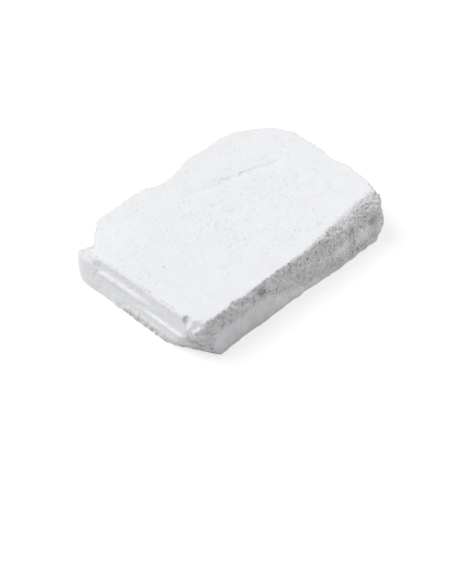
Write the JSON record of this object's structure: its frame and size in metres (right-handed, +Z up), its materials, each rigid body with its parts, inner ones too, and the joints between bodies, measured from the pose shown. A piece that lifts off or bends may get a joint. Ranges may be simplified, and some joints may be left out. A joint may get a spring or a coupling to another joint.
{
  "type": "climbing chalk block",
  "caption": "Flat slab of pressed white chalk, with one moulded end that has a cove and a ridge, broken crumbly sides and chipped corners.",
  "frame": {"origin": "middle of the flat face that it lies on", "axes": "+X along the slab, from the moulded end to the broken end; +Y from the front side to the back side; +Z up, through the thickness"},
  "size_m": [0.0748, 0.0513, 0.0149],
  "materials": {
    "chalk": "matte, powdery, fine grained"
  },
  "bodies": {
    "root": {"chalk_block": "chalk"}
  },
  "joints": []
}
